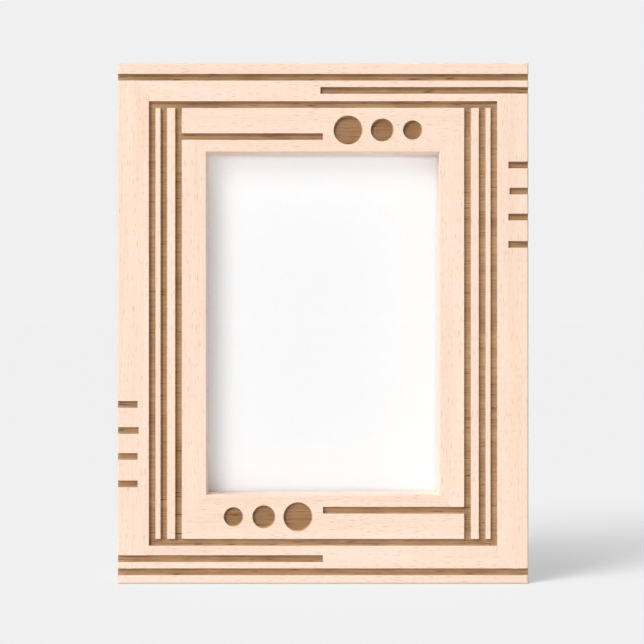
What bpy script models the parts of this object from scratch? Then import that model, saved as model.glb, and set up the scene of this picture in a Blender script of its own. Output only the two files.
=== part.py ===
"""Engraved beech picture frame for a 5 x 7 inch print, standing upright on its bottom edge.

Four mitred mouldings hold a glazing pane, a print and a backing board in their rabbet. Turn buttons
keep the board in, and a hinged easel strut lies folded against it. Metres, +Z up. The front faces -Y,
and the origin is the middle of the face that the frame stands on.
"""

import math

import bmesh
import bpy
from mathutils import Matrix, Vector

# Print and moulding
PRINT_WIDTH = 0.127
PRINT_HEIGHT = 0.1778
PRINT_THICKNESS = 0.0004
LIP_OVERLAP = 0.009525  # how far the sight edge covers the print on each side
MOULDING_WIDTH = 0.041275
FRAME_DEPTH = 0.01905
FRONT_EASING = 0.0008  # radius on the outer arrises
SIGHT_EASING = 0.0004  # radius on the sight edge
EASING_STEPS = 3

# What lies in the rabbet
RABBET_CLEARANCE = 0.0015  # print edge to rabbet wall
GLAZING_THICKNESS = 0.002
BOARD_THICKNESS = 0.003

# Clearances
SEAT_GAP = 0.0002  # between faces that rest on each other
EDGE_GAP = 0.0003  # round the edge of what drops into the rabbet
PRESS_GAP = 0.0001  # round metal driven into wood, and in the glue line of a mitre
RUNNING_GAP = 0.0003  # between pieces that turn past each other
CUT_OVERRUN = 0.001  # how far a cutter stands past the face that it opens

# Engraving, measured inwards from the frame's outer edges
LINE_WIDTH = 0.0031
ENGRAVING_DEPTH = 0.0020
TOP_BAND_INSET = 0.0051
BOTTOM_BAND_INSET = 0.0041
BAND_PITCH = 0.0061  # from the full band to the half band beside it
HALF_BAND_OVERRUN = 0.0012  # of the upper half band, past the middle of the rail
BORDER_SIDE_INSET = 0.0146
BORDER_END_INSET = 0.01775
STRIPE_OFFSETS = (0.0, 0.0054, 0.0122)  # the three upright lines, inwards from the border
INNER_BAR_INSET = 0.0326
DOT_INSET = 0.0311
DOT_DIAMETERS = (0.01345, 0.01065, 0.00895)
DOT_OFFSETS = (0.0116, 0.0274, 0.0415)  # from the middle of the rail
DOT_SIDES = 48
TICK_LENGTH = 0.0094
TICK_DROPS = (0.0, 0.0121, 0.0241, 0.0368)  # below the group's first tick
TICK_SHIFTS = (0.0, 0.0005, 0.0, 0.0)  # the second tick sits a little further right
TICKS_FROM_TOP = 0.0457  # right-hand group
TICKS_FROM_BOTTOM = 0.0448  # left-hand group

# V-nails
NAIL_INSETS = (0.010, 0.022)  # inwards from the outer corner, across the moulding
V_LEG = 0.0065
V_THICKNESS = 0.0007
V_HALF_ANGLE = math.radians(52)
V_HEIGHT = 0.010
V_SUNK = 0.0004  # below the back face

# Turn buttons and their screws
BUTTON_SPACING = 0.104  # between the two on one stile
BUTTON_SET_BACK = 0.0062  # from the rabbet wall to the screw
BUTTON_REACH = 0.0135  # from the screw to the centre of the tip
BUTTON_HEEL_RADIUS = 0.0050
BUTTON_TIP_RADIUS = 0.0030
BUTTON_THICKNESS = 0.0012
SCREW_RADIUS = 0.0014
SCREW_LENGTH = 0.011
SCREW_HEAD_RADIUS = 0.0031
SCREW_HEAD_HEIGHT = 0.0019

# Easel strut and its hinge
HINGE_DROP = 0.058  # from the top edge of the board to the hinge pin
STRUT_THICKNESS = 0.003
STRUT_TOP_WIDTH = 0.042
STRUT_FOOT_WIDTH = 0.058
STRUT_FOOT_RADIUS = 0.007
STRUT_HEAD_RADIUS = 0.002
STRUT_EASING = 0.0004
STRUT_FOOT_CLEARANCE = 0.004  # above the surface while folded
STRUT_STANDOFF = 0.0004  # strut face to board face
STRUT_OPENING = math.radians(26)
LEAF_THICKNESS = 0.0008
LEAF_WIDTH = 0.034
BOARD_LEAF_LENGTH = 0.021
STRUT_LEAF_LENGTH = 0.026
LEAF_CORNER_RADIUS = 0.003
KNUCKLE_LENGTH = 0.013  # the middle knuckle, on the strut leaf
KNUCKLE_RELIEF = 0.0001  # keeps a knuckle's faces out of the planes of its leaf
PIN_RADIUS = 0.0009
PIN_GAP = 0.00015
STOP_LENGTH = 0.0065  # the tongue that ends the opening, from the pin
RIVET_SPACING = 0.020
RIVET_RADIUS = 0.0012
RIVET_HEAD_RADIUS = 0.0026
RIVET_HEAD_HEIGHT = 0.0010
RIVET_FROM_END = 0.006  # from the end of the leaf

# Sawtooth hangers and their nails
HANGER_LENGTH = 0.046
HANGER_HEIGHT = 0.0095
HANGER_THICKNESS = 0.0008
HANGER_RISE = 0.0020
HANGER_SPAN = 0.028  # the raised middle
HANGER_RAMP = 0.0020
HANGER_INSET = 0.0075  # from the outer edge of the moulding
TOOTH_COUNT = 11
TOOTH_DEPTH = 0.0018
HANGER_NAIL_RADIUS = 0.0007
HANGER_NAIL_HEAD_RADIUS = 0.0017
HANGER_NAIL_HEAD_HEIGHT = 0.0007
HANGER_NAIL_LENGTH = 0.010

ROUND_SIDES = 24

# Worked out from the values above
SIGHT_WIDTH = PRINT_WIDTH - 2 * LIP_OVERLAP
SIGHT_HEIGHT = PRINT_HEIGHT - 2 * LIP_OVERLAP
FRAME_WIDTH = SIGHT_WIDTH + 2 * MOULDING_WIDTH
FRAME_HEIGHT = SIGHT_HEIGHT + 2 * MOULDING_WIDTH
FRONT = -FRAME_DEPTH / 2
BACK = FRAME_DEPTH / 2
RABBET_WALL = MOULDING_WIDTH - LIP_OVERLAP - RABBET_CLEARANCE  # across the moulding, from its outer edge
RABBET_DEPTH = GLAZING_THICKNESS + PRINT_THICKNESS + BOARD_THICKNESS + 4 * SEAT_GAP
SHOULDER = BACK - RABBET_DEPTH
GLAZING_FRONT = SHOULDER + SEAT_GAP
PRINT_FRONT = GLAZING_FRONT + GLAZING_THICKNESS + SEAT_GAP
BOARD_FRONT = PRINT_FRONT + PRINT_THICKNESS + SEAT_GAP
BOARD_BACK = BOARD_FRONT + BOARD_THICKNESS
INSERT_WIDTH = PRINT_WIDTH + 2 * (RABBET_CLEARANCE - EDGE_GAP)
INSERT_HEIGHT = PRINT_HEIGHT + 2 * (RABBET_CLEARANCE - EDGE_GAP)
MIDDLE = FRAME_HEIGHT / 2
STRUT_FRONT = BOARD_BACK + STRUT_STANDOFF
STRUT_BACK = STRUT_FRONT + STRUT_THICKNESS
STRUT_LEAF_FRONT = STRUT_BACK + SEAT_GAP
BOARD_LEAF_FRONT = BOARD_BACK + SEAT_GAP
PIN_DEPTH = (BOARD_LEAF_FRONT + STRUT_LEAF_FRONT + LEAF_THICKNESS) / 2
BARREL_RADIUS = PIN_DEPTH - BOARD_LEAF_FRONT + KNUCKLE_RELIEF
PIN_HEIGHT = MIDDLE + INSERT_HEIGHT / 2 - HINGE_DROP


def clear_scene():
    """Removes the objects that the file starts with."""
    for existing in list(bpy.data.objects):
        bpy.data.objects.remove(existing)


def new_collection(name):
    collection = bpy.data.collections.new(name)
    bpy.context.scene.collection.children.link(collection)
    return collection


def finish_material(name, colour, roughness, metallic=0.0, alpha=1.0):
    """A Principled material in one linear colour."""
    material = bpy.data.materials.new(name)
    material.use_nodes = True
    shader = material.node_tree.nodes["Principled BSDF"]
    shader.inputs["Base Color"].default_value = (*colour, 1.0)
    shader.inputs["Roughness"].default_value = roughness
    shader.inputs["Metallic"].default_value = metallic
    shader.inputs["Alpha"].default_value = alpha
    material.diffuse_color = (*colour, alpha)
    return material


def place(name, mesh, collection, material=None, parent=None, location=(0, 0, 0), rotation=(0, 0, 0)):
    """A new object for a mesh, in one collection, under a parent."""
    piece = bpy.data.objects.new(name, mesh)
    collection.objects.link(piece)
    piece.parent = parent
    piece.location = location
    piece.rotation_euler = rotation
    if material:
        mesh.materials.append(material)
    if collection is cutters:
        piece.hide_render = True
        piece.display_type = "WIRE"
    return piece


def block_mesh(name, low, high):
    """A box between two corners."""
    low, high = Vector(low), Vector(high)
    shape = bmesh.new()
    bmesh.ops.create_cube(shape, size=1.0)
    bmesh.ops.scale(shape, vec=high - low, verts=shape.verts)
    bmesh.ops.translate(shape, vec=(low + high) / 2, verts=shape.verts)
    mesh = bpy.data.meshes.new(name)
    shape.to_mesh(mesh)
    shape.free()
    return mesh


def rod_mesh(name, radius, start, end, sides=ROUND_SIDES):
    """A closed cylinder between two points."""
    start, end = Vector(start), Vector(end)
    along = end - start
    turn = along.to_track_quat("Z", "Y").to_matrix().to_4x4()
    shape = bmesh.new()
    bmesh.ops.create_cone(
        shape,
        cap_ends=True,
        segments=sides,
        radius1=radius,
        radius2=radius,
        depth=along.length,
        matrix=Matrix.Translation((start + end) / 2) @ turn,
    )
    mesh = bpy.data.meshes.new(name)
    shape.to_mesh(mesh)
    shape.free()
    mesh.shade_smooth()
    mesh.set_sharp_from_angle(angle=math.radians(40))
    return mesh


def outline_mesh(name, loops, thickness):
    """A flat piece in the local XY plane: a filled 2D curve, thickened about that plane, as a mesh.

    The first loop is the outline, and the others are holes.
    """
    curve = bpy.data.curves.new(name, "CURVE")
    curve.dimensions = "2D"
    curve.fill_mode = "BOTH"
    curve.extrude = thickness / 2
    for loop in loops:
        spline = curve.splines.new("POLY")
        spline.points.add(len(loop) - 1)
        for point, (x, y) in zip(spline.points, loop):
            point.co = (x, y, 0, 1)
        spline.use_cyclic_u = True
    holder = bpy.data.objects.new(name, curve)
    bpy.context.scene.collection.objects.link(holder)
    graph = bpy.context.evaluated_depsgraph_get()
    mesh = bpy.data.meshes.new_from_object(holder.evaluated_get(graph))
    bpy.data.objects.remove(holder)
    shape = bmesh.new()
    shape.from_mesh(mesh)
    bmesh.ops.remove_doubles(shape, verts=shape.verts, dist=1e-6)
    bmesh.ops.recalc_face_normals(shape, faces=shape.faces)
    shape.to_mesh(mesh)
    shape.free()
    mesh.name = name
    return mesh


def turned_piece(name, profile, collection, material=None, parent=None, location=(0, 0, 0)):
    """A turned piece whose axis runs front to back, its head at the back.

    The profile is (radius, height) pairs from the head's top on the axis down to the tip on the axis.
    """
    mesh = bpy.data.meshes.new(name)
    edges = [(i, i + 1) for i in range(len(profile) - 1)]
    mesh.from_pydata([(radius, 0, height) for radius, height in profile], edges, [])
    piece = place(name, mesh, collection, material, parent, location, (-math.pi / 2, 0, 0))
    screw = piece.modifiers.new("turn", "SCREW")
    screw.axis = "Z"
    screw.steps = screw.render_steps = ROUND_SIDES
    screw.use_merge_vertices = True
    screw.merge_threshold = 1e-6
    return piece


def domed_pin(head_radius, head_height, radius, length, point=0.0, steps=4):
    """The profile of a pin with a domed head, whose underside is at height 0."""
    dome = []
    for i in range(steps + 1):
        angle = math.pi / 2 * (1 - i / steps)
        dome.append((head_radius * math.cos(angle), head_height * (0.35 + 0.65 * math.sin(angle))))
    dome[0] = (0.0, head_height)
    shank = [(head_radius, 0.0), (radius, 0.0), (radius, -length + point), (0.0, -length)]
    return dome + shank


def rounded(corners, steps=5):
    """An outline from (x, y, radius) corners, with an arc at each one that has a radius."""
    points = []
    for i, (x, y, radius) in enumerate(corners):
        corner = Vector((x, y))
        before = (Vector(corners[i - 1][:2]) - corner).normalized()
        after = (Vector(corners[(i + 1) % len(corners)][:2]) - corner).normalized()
        if radius == 0:
            points.append(tuple(corner))
            continue
        half = before.angle(after) / 2
        centre = corner + (before + after).normalized() * radius / math.sin(half)
        start = corner + before * radius / math.tan(half) - centre
        sweep = start.angle_signed(corner + after * radius / math.tan(half) - centre)
        for step in range(steps + 1):
            arm = start.copy()
            arm.rotate(Matrix.Rotation(-sweep * step / steps, 2))
            points.append(tuple(centre + arm))
    return points


def circle(radius, x=0.0, y=0.0, sides=ROUND_SIDES):
    turn = 2 * math.pi / sides
    return [(x + radius * math.cos(i * turn), y + radius * math.sin(i * turn)) for i in range(sides)]


def cut(piece, cutter, operation="DIFFERENCE"):
    """A Boolean of one cutter, or of every cutter in a collection."""
    boolean = piece.modifiers.new(cutter.name, "BOOLEAN")
    boolean.operation = operation
    if isinstance(cutter, bpy.types.Collection):
        boolean.operand_type = "COLLECTION"
        boolean.collection = cutter
    else:
        boolean.object = cutter


def ease(piece, width):
    """Takes the sharpness off the square edges."""
    bevel = piece.modifiers.new("ease", "BEVEL")
    bevel.width = width
    bevel.segments = 2
    bevel.limit_method = "ANGLE"
    bevel.angle_limit = math.radians(60)


def moulding_profile():
    """The moulding's section as (depth, across) points: front, sight edge, rabbet, back, outer edge."""
    section = [
        (FRONT, 0, FRONT_EASING),
        (FRONT, MOULDING_WIDTH, SIGHT_EASING),
        (SHOULDER, MOULDING_WIDTH, 0),
        (SHOULDER, RABBET_WALL, 0),
        (BACK, RABBET_WALL, 0),
        (BACK, 0, FRONT_EASING),
    ]
    return rounded(section, EASING_STEPS)


def moulding_mesh(name, length):
    """A straight moulding along X, its outer edge at Z 0, with both ends mitred at 45 degrees."""
    shape = bmesh.new()
    ring = [shape.verts.new((0, depth, across)) for depth, across in moulding_profile()]
    first = shape.faces.new(ring)
    grown = bmesh.ops.extrude_face_region(shape, geom=[first])["geom"]
    far = [item for item in grown if isinstance(item, bmesh.types.BMVert)]
    glue_line = PRESS_GAP / 2 * math.sqrt(2)
    for vertex in ring:
        vertex.co.x = -(length / 2 - vertex.co.z - glue_line)
    for vertex in far:
        vertex.co.x = length / 2 - vertex.co.z - glue_line
    bmesh.ops.recalc_face_normals(shape, faces=shape.faces)
    mesh = bpy.data.meshes.new(name)
    shape.to_mesh(mesh)
    shape.free()
    return mesh


def make_rails():
    """The four mouldings, each with its outer edge at its own origin and its width towards the middle."""
    quarter = math.pi / 2
    places = {
        "bottom_rail": (FRAME_WIDTH, (0, 0, 0), 0),
        "top_rail": (FRAME_WIDTH, (0, 0, FRAME_HEIGHT), 2 * quarter),
        "left_stile": (FRAME_HEIGHT, (-FRAME_WIDTH / 2, 0, MIDDLE), quarter),
        "right_stile": (FRAME_HEIGHT, (FRAME_WIDTH / 2, 0, MIDDLE), -quarter),
    }
    made = {}
    for name, (length, location, turn) in places.items():
        mesh = moulding_mesh(name, length)
        made[name] = place(name, mesh, parts, beech, stand, location, (0, turn, 0))
    return made


def engrave_line(name, left, right, low, high):
    """One straight engraved line, as a cutter, between positions measured from the middle of the frame."""
    corner = (left, FRONT - CUT_OVERRUN, MIDDLE + low)
    opposite = (right, FRONT + ENGRAVING_DEPTH, MIDDLE + high)
    add_rail_cutter(place(name, block_mesh(name, corner, opposite), cutters, None, stand))


def engrave_half(half, turn, band_inset, band_overrun):
    """One half of the engraving. Given half a turn about the middle, it makes the other half."""
    edge_x, edge_z = FRAME_WIDTH / 2, FRAME_HEIGHT / 2
    past_edge = edge_x + CUT_OVERRUN
    border_x, border_z = edge_x - BORDER_SIDE_INSET, edge_z - BORDER_END_INSET

    def line(name, left, right, low, high):
        xs = sorted((turn * left, turn * right))
        zs = sorted((turn * low, turn * high))
        engrave_line(f"{half}_{name}", *xs, *zs)

    def bar(name, left, right, inset):
        line(name, left, right, edge_z - inset - LINE_WIDTH, edge_z - inset)

    bar("band", -past_edge, past_edge, band_inset)
    bar("half_band", -band_overrun, past_edge, band_inset + BAND_PITCH)
    bar("border", -border_x, border_x, BORDER_END_INSET)
    bar("inner_bar", -border_x + STRIPE_OFFSETS[-1], 0, INNER_BAR_INSET)
    for number, offset in enumerate(STRIPE_OFFSETS, 1):
        outer = border_x - offset
        line(f"stripe_{number}", outer - LINE_WIDTH, outer, -border_z, border_z)
    for number, (diameter, offset) in enumerate(zip(DOT_DIAMETERS, DOT_OFFSETS), 1):
        name = f"{half}_dot_{number}"
        x, z = turn * offset, MIDDLE + turn * (edge_z - DOT_INSET)
        start, end = (x, FRONT - CUT_OVERRUN, z), (x, FRONT + ENGRAVING_DEPTH, z)
        mesh = rod_mesh(name, diameter / 2, start, end, DOT_SIDES)
        add_rail_cutter(place(name, mesh, cutters, None, stand))


def engrave_ticks():
    """Four short lines in from each side: high on the right, low on the left."""
    edge_x, edge_z = FRAME_WIDTH / 2, FRAME_HEIGHT / 2
    group_height = TICK_DROPS[-1] + LINE_WIDTH
    left_top = -edge_z + TICKS_FROM_BOTTOM + group_height
    right_top = edge_z - TICKS_FROM_TOP
    for number, (drop, shift) in enumerate(zip(TICK_DROPS, TICK_SHIFTS), 1):
        inner = edge_x - TICK_LENGTH
        top = right_top - drop
        engrave_line(f"right_tick_{number}", inner + shift, edge_x + CUT_OVERRUN, top - LINE_WIDTH, top)
        top = left_top - drop
        engrave_line(f"left_tick_{number}", -edge_x - CUT_OVERRUN, -inner + shift, top - LINE_WIDTH, top)


def chevron(leg, thickness):
    """The outline of a bent V-nail, apex up, symmetric about local Y."""
    sine, cosine = math.sin(V_HALF_ANGLE), math.cos(V_HALF_ANGLE)
    tip = (leg * sine, -leg * cosine)
    across = (thickness / 2 * cosine, thickness / 2 * sine)
    rise = thickness / 2 / sine
    right = [(tip[0] + across[0], tip[1] + across[1]), (tip[0] - across[0], tip[1] - across[1])]
    left = [(-x, y) for x, y in reversed(right)]
    return [(0, rise), *right, (0, -rise), *left]


def make_v_nails():
    """Two V-nails in the back of each mitre, each in a pocket that spans the joint."""
    number = 0
    middle_depth = BACK - V_SUNK - V_HEIGHT / 2
    for side_x in (-1, 1):
        for side_z in (-1, 1):
            for inset in NAIL_INSETS:
                number += 1
                x = side_x * (FRAME_WIDTH / 2 - inset)
                z = MIDDLE + side_z * (FRAME_HEIGHT / 2 - inset)
                turn = -side_x * side_z * math.pi / 4 + (0 if side_z > 0 else math.pi)
                name = f"v_nail_{number}"
                rotation = (math.pi / 2, -turn, 0)
                nail = outline_mesh(name, [chevron(V_LEG, V_THICKNESS)], V_HEIGHT)
                place(name, nail, parts, steel, stand, (x, middle_depth, z), rotation)
                pocket_height = V_HEIGHT + 2 * (V_SUNK + PRESS_GAP)
                loops = [chevron(V_LEG + PRESS_GAP, V_THICKNESS + 2 * PRESS_GAP)]
                pocket = outline_mesh(f"{name}_pocket", loops, pocket_height)
                location = (x, middle_depth, z)
                add_rail_cutter(place(f"{name}_pocket", pocket, cutters, None, stand, location, rotation))


def make_insert():
    """The glazing pane, the print and the backing board, stacked in the rabbet."""

    def sheet(name, width, height, front, thickness, material):
        low = (-width / 2, front, MIDDLE - height / 2)
        high = (width / 2, front + thickness, MIDDLE + height / 2)
        return place(name, block_mesh(name, low, high), parts, material, stand)

    sheet("glazing", INSERT_WIDTH, INSERT_HEIGHT, GLAZING_FRONT, GLAZING_THICKNESS, glass)
    sheet("print", PRINT_WIDTH, PRINT_HEIGHT, PRINT_FRONT, PRINT_THICKNESS, paper)
    return sheet("backing_board", INSERT_WIDTH, INSERT_HEIGHT, BOARD_FRONT, BOARD_THICKNESS, hardboard)


def drill(name, radius, depth, rail, along, across):
    """A round hole into the back of a moulding, as a cutter placed in the moulding's own frame."""
    mesh = rod_mesh(name, radius, (along, BACK + CUT_OVERRUN, across), (along, BACK - depth, across))
    add_rail_cutter(place(name, mesh, cutters, None, rail))


def button_outline():
    """A teardrop round the screw and the tip, joined by the straight lines that touch both."""
    lean = math.asin((BUTTON_HEEL_RADIUS - BUTTON_TIP_RADIUS) / BUTTON_REACH)
    steps = 10
    points = []
    for i in range(steps + 1):
        angle = lean + (math.pi - 2 * lean) * i / steps
        height = BUTTON_REACH + BUTTON_TIP_RADIUS * math.sin(angle)
        points.append((BUTTON_TIP_RADIUS * math.cos(angle), height))
    for i in range(steps + 1):
        angle = math.pi - lean + (math.pi + 2 * lean) * i / steps
        points.append((BUTTON_HEEL_RADIUS * math.cos(angle), BUTTON_HEEL_RADIUS * math.sin(angle)))
    return points


def make_turn_buttons():
    """Two turn buttons on the back of each stile, tips over the backing board, each on its screw."""
    number = 0
    across = RABBET_WALL - BUTTON_SET_BACK
    front = BACK + SEAT_GAP
    for stile in (rails["left_stile"], rails["right_stile"]):
        for along in (-BUTTON_SPACING / 2, BUTTON_SPACING / 2):
            number += 1
            name = f"turn_button_{number}"
            loops = [button_outline(), circle(SCREW_RADIUS + RUNNING_GAP)]
            mesh = outline_mesh(name, loops, BUTTON_THICKNESS)
            location = (along, front + BUTTON_THICKNESS / 2, across)
            place(name, mesh, parts, nickel, stile, location, (math.pi / 2, 0, 0))
            name = f"button_screw_{number}"
            head = (SCREW_HEAD_RADIUS, SCREW_HEAD_HEIGHT)
            profile = domed_pin(*head, SCREW_RADIUS, SCREW_LENGTH, SCREW_RADIUS)
            seat = front + BUTTON_THICKNESS + SEAT_GAP
            turned_piece(name, profile, parts, nickel, stile, (along, seat, across))
            depth = SCREW_LENGTH - (seat - BACK) + PRESS_GAP
            drill(f"{name}_hole", SCREW_RADIUS + PRESS_GAP, depth, stile, along, across)


def make_strut():
    """The easel strut, folded: a tapered board that hangs from the hinge to just above the surface."""
    top = PIN_HEIGHT - BARREL_RADIUS - RUNNING_GAP
    foot = STRUT_FOOT_CLEARANCE
    outline = rounded(
        [
            (-STRUT_TOP_WIDTH / 2, top - PIN_HEIGHT, STRUT_HEAD_RADIUS),
            (STRUT_TOP_WIDTH / 2, top - PIN_HEIGHT, STRUT_HEAD_RADIUS),
            (STRUT_FOOT_WIDTH / 2, foot - PIN_HEIGHT, STRUT_FOOT_RADIUS),
            (-STRUT_FOOT_WIDTH / 2, foot - PIN_HEIGHT, STRUT_FOOT_RADIUS),
        ]
    )
    mesh = outline_mesh("strut", [outline], STRUT_THICKNESS)
    location = (0, (STRUT_FRONT + STRUT_BACK) / 2 - PIN_DEPTH, 0)
    strut = place("strut", mesh, parts, hardboard, hinge_axis, location, (math.pi / 2, 0, 0))
    ease(strut, STRUT_EASING)
    return strut


def rivet_places(length, side):
    """Where the two rivets of a leaf sit, as (x, height above the pin)."""
    return [(x, side * (length - RIVET_FROM_END)) for x in (-RIVET_SPACING / 2, RIVET_SPACING / 2)]


def leaf_mesh(name, outline, length, side):
    holes = [circle(RIVET_RADIUS + PRESS_GAP, x, z) for x, z in rivet_places(length, side)]
    return outline_mesh(name, [outline, *holes], LEAF_THICKNESS)


def barrel(name, left, right):
    """A stretch of the hinge's barrel, as a shape to join to a leaf."""
    start, end = (left + KNUCKLE_RELIEF, 0, 0), (right - KNUCKLE_RELIEF, 0, 0)
    return place(name, rod_mesh(name, BARREL_RADIUS, start, end), cutters, None, hinge_axis)


def make_board_leaf():
    """The leaf on the board, with a knuckle at each end and a gap for the strut's knuckle."""
    half, gap = LEAF_WIDTH / 2, KNUCKLE_LENGTH / 2 + RUNNING_GAP
    notch = BARREL_RADIUS + RUNNING_GAP
    outline = rounded(
        [
            (-half, 0, 0),
            (-half, BOARD_LEAF_LENGTH, LEAF_CORNER_RADIUS),
            (half, BOARD_LEAF_LENGTH, LEAF_CORNER_RADIUS),
            (half, 0, 0),
            (gap, 0, 0),
            (gap, notch, 0),
            (-gap, notch, 0),
            (-gap, 0, 0),
        ]
    )
    mesh = leaf_mesh("hinge_leaf_board", outline, BOARD_LEAF_LENGTH, 1)
    depth = BOARD_LEAF_FRONT + LEAF_THICKNESS / 2 - PIN_DEPTH
    leaf = place("hinge_leaf_board", mesh, parts, steel, hinge_axis, (0, depth, 0), (math.pi / 2, 0, 0))
    cut(leaf, barrel("board_knuckle_left", -half, -gap), "UNION")
    cut(leaf, barrel("board_knuckle_right", gap, half), "UNION")
    return leaf


def make_strut_leaf():
    """The leaf on the strut, with the middle knuckle and the tongue that stops the strut at its opening."""
    half, knuckle = LEAF_WIDTH / 2, KNUCKLE_LENGTH / 2
    shoulder = -BARREL_RADIUS - RUNNING_GAP
    outline = rounded(
        [
            (-knuckle, 0, 0),
            (knuckle, 0, 0),
            (knuckle, shoulder, 0),
            (half, shoulder, 0),
            (half, -STRUT_LEAF_LENGTH, LEAF_CORNER_RADIUS),
            (-half, -STRUT_LEAF_LENGTH, LEAF_CORNER_RADIUS),
            (-half, shoulder, 0),
            (-knuckle, shoulder, 0),
        ]
    )
    mesh = leaf_mesh("hinge_leaf_strut", outline, STRUT_LEAF_LENGTH, -1)
    depth = STRUT_LEAF_FRONT + LEAF_THICKNESS / 2 - PIN_DEPTH
    leaf = place("hinge_leaf_strut", mesh, parts, steel, hinge_axis, (0, depth, 0), (math.pi / 2, 0, 0))
    cut(leaf, barrel("strut_knuckle", -knuckle, knuckle), "UNION")
    stop_front = BOARD_LEAF_FRONT + LEAF_THICKNESS + RUNNING_GAP - PIN_DEPTH
    stop_back = stop_front + LEAF_THICKNESS
    stop_half = knuckle - LEAF_THICKNESS
    mesh = block_mesh("stop_tongue", (-stop_half, stop_front, 0), (stop_half, stop_back, STOP_LENGTH))
    tongue = place("stop_tongue", mesh, cutters, None, hinge_axis, (0, 0, 0), (-STRUT_OPENING, 0, 0))
    cut(leaf, tongue, "UNION")
    return leaf


def make_hinge(board, strut):
    """Both leaves bored for the pin, the pin, and the rivets that hold each leaf to its panel."""
    leaves = (make_board_leaf(), make_strut_leaf())
    half = LEAF_WIDTH / 2
    past_end = half + CUT_OVERRUN
    bore = rod_mesh("pin_bore", PIN_RADIUS + PIN_GAP, (-past_end, 0, 0), (past_end, 0, 0))
    bore = place("pin_bore", bore, cutters, None, hinge_axis)
    for leaf in leaves:
        cut(leaf, bore)
    pin = rod_mesh("hinge_pin", PIN_RADIUS, (-half, 0, 0), (half, 0, 0))
    place("hinge_pin", pin, parts, steel, hinge_axis)
    rows = (
        (board, BOARD_LEAF_FRONT + LEAF_THICKNESS, BOARD_THICKNESS, BOARD_LEAF_LENGTH, 1),
        (strut, STRUT_LEAF_FRONT + LEAF_THICKNESS, STRUT_THICKNESS, STRUT_LEAF_LENGTH, -1),
    )
    number = 0
    for panel, leaf_back, thickness, length, side in rows:
        for x, height in rivet_places(length, side):
            number += 1
            name = f"hinge_rivet_{number}"
            seat = leaf_back + PRESS_GAP - PIN_DEPTH
            through = PRESS_GAP + LEAF_THICKNESS + SEAT_GAP + thickness
            profile = domed_pin(RIVET_HEAD_RADIUS, RIVET_HEAD_HEIGHT, RIVET_RADIUS, through - PRESS_GAP)
            turned_piece(name, profile, parts, steel, hinge_axis, (x, seat, height))
            start = (x, seat + CUT_OVERRUN, height)
            end = (x, seat - through - CUT_OVERRUN, height)
            hole = rod_mesh(f"{name}_hole", RIVET_RADIUS + PRESS_GAP, start, end)
            cut(panel, place(f"{name}_hole", hole, cutters, None, hinge_axis))


def hanger_strip(name):
    """The hanger's strip before its teeth are cut: flat tabs at the ends and a raised middle."""
    end, ramp, flat = HANGER_LENGTH / 2, HANGER_SPAN / 2 + HANGER_RAMP, HANGER_SPAN / 2
    path = [(-end, 0), (-ramp, 0), (-flat, HANGER_RISE), (flat, HANGER_RISE), (ramp, 0), (end, 0)]
    shape = bmesh.new()
    line = [shape.verts.new((x, y, 0)) for x, y in path]
    edges = [shape.edges.new(pair) for pair in zip(line, line[1:])]
    grown = bmesh.ops.extrude_edge_only(shape, edges=edges)["geom"]
    upper = [item for item in grown if isinstance(item, bmesh.types.BMVert)]
    bmesh.ops.translate(shape, vec=(0, 0, HANGER_HEIGHT), verts=upper)
    for face in shape.faces:
        face.normal_update()
        if face.normal.y < 0:
            face.normal_flip()
    mesh = bpy.data.meshes.new(name)
    shape.to_mesh(mesh)
    shape.free()
    return mesh


def tooth_outline():
    """The row of notches along one edge of the raised middle, as a zigzag over a straight base."""
    pitch = HANGER_SPAN / TOOTH_COUNT
    zigzag = []
    for i in range(TOOTH_COUNT):
        left = -HANGER_SPAN / 2 + i * pitch
        zigzag += [(left, 0.0), (left + pitch / 2, -TOOTH_DEPTH)]
    zigzag.append((HANGER_SPAN / 2, 0.0))
    return [*zigzag, (HANGER_SPAN / 2, CUT_OVERRUN), (-HANGER_SPAN / 2, CUT_OVERRUN)]


def make_hanger(name, rail):
    """A sawtooth hanger on the back of a moulding, teeth towards the frame's middle, and its two nails."""
    front = BACK + SEAT_GAP
    hanger = place(name, hanger_strip(name), parts, nickel, rail, (0, front, HANGER_INSET))
    solidify = hanger.modifiers.new("gauge", "SOLIDIFY")
    solidify.thickness = HANGER_THICKNESS
    solidify.offset = 1.0
    solidify.use_even_offset = True
    depth = 2 * (HANGER_RISE + HANGER_THICKNESS + CUT_OVERRUN)
    teeth = outline_mesh(f"{name}_teeth", [tooth_outline()], depth)
    teeth_place = (0, front, HANGER_INSET + HANGER_HEIGHT)
    cut(hanger, place(f"{name}_teeth", teeth, cutters, None, rail, teeth_place, (math.pi / 2, 0, 0)))
    tab_middle = (HANGER_LENGTH / 2 + HANGER_SPAN / 2 + HANGER_RAMP) / 2
    across = HANGER_INSET + HANGER_HEIGHT / 2
    for number, along in enumerate((-tab_middle, tab_middle), 1):
        nail = f"{name}_nail_{number}"
        profile = domed_pin(
            HANGER_NAIL_HEAD_RADIUS,
            HANGER_NAIL_HEAD_HEIGHT,
            HANGER_NAIL_RADIUS,
            HANGER_NAIL_LENGTH,
            HANGER_NAIL_RADIUS,
        )
        seat = front + HANGER_THICKNESS + PRESS_GAP
        turned_piece(nail, profile, parts, nickel, rail, (along, seat, across))
        depth = HANGER_NAIL_LENGTH - (seat - BACK) + PRESS_GAP
        drill(f"{nail}_hole", HANGER_NAIL_RADIUS + PRESS_GAP, depth, rail, along, across)
        start, end = (along, front - CUT_OVERRUN / 2, across), (along, seat + CUT_OVERRUN, across)
        hole = rod_mesh(f"{nail}_clearance", HANGER_NAIL_RADIUS + PRESS_GAP, start, end)
        cut(hanger, place(f"{nail}_clearance", hole, cutters, None, rail))


def add_rail_cutter(cutter):
    """Adds a cutter to those that shape the mouldings."""
    rail_cutters.objects.link(cutter)


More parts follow.
